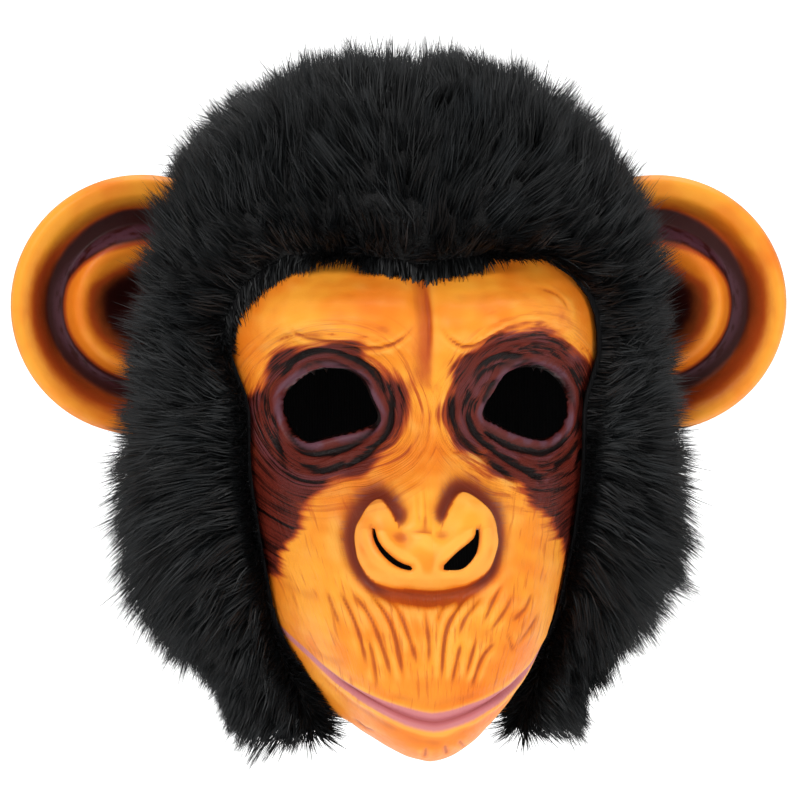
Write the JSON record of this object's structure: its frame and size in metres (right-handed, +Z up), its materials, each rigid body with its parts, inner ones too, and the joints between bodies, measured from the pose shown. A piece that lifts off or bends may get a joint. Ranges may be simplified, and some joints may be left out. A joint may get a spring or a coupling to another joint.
{
  "type": "ape mask",
  "caption": "Full-head ape mask: thin latex face with eye holes and nostril slits, two latex ears and a deep-pile fur hood, hollow and open at the neck.",
  "frame": {"origin": "inside the crown, where the top of a head bears", "axes": "+Z up, the face looks along -Y, +X to the wearer's left"},
  "size_m": [0.3148, 0.2837, 0.2771],
  "materials": {
    "face_latex": "hand-painted latex, yellow-orange with dark maroon round the eyes",
    "ear_latex": "hand-painted latex, yellow-orange rim and dark maroon groove",
    "backing_cloth": "black knitted backing",
    "black_fur": "long black plush pile with a faint blue-grey sheen"
  },
  "bodies": {
    "root": {"face": "face_latex", "ear_left": "ear_latex", "ear_right": "ear_latex", "hood_backing": "backing_cloth", "fur_pile": "black_fur"}
  },
  "joints": []
}
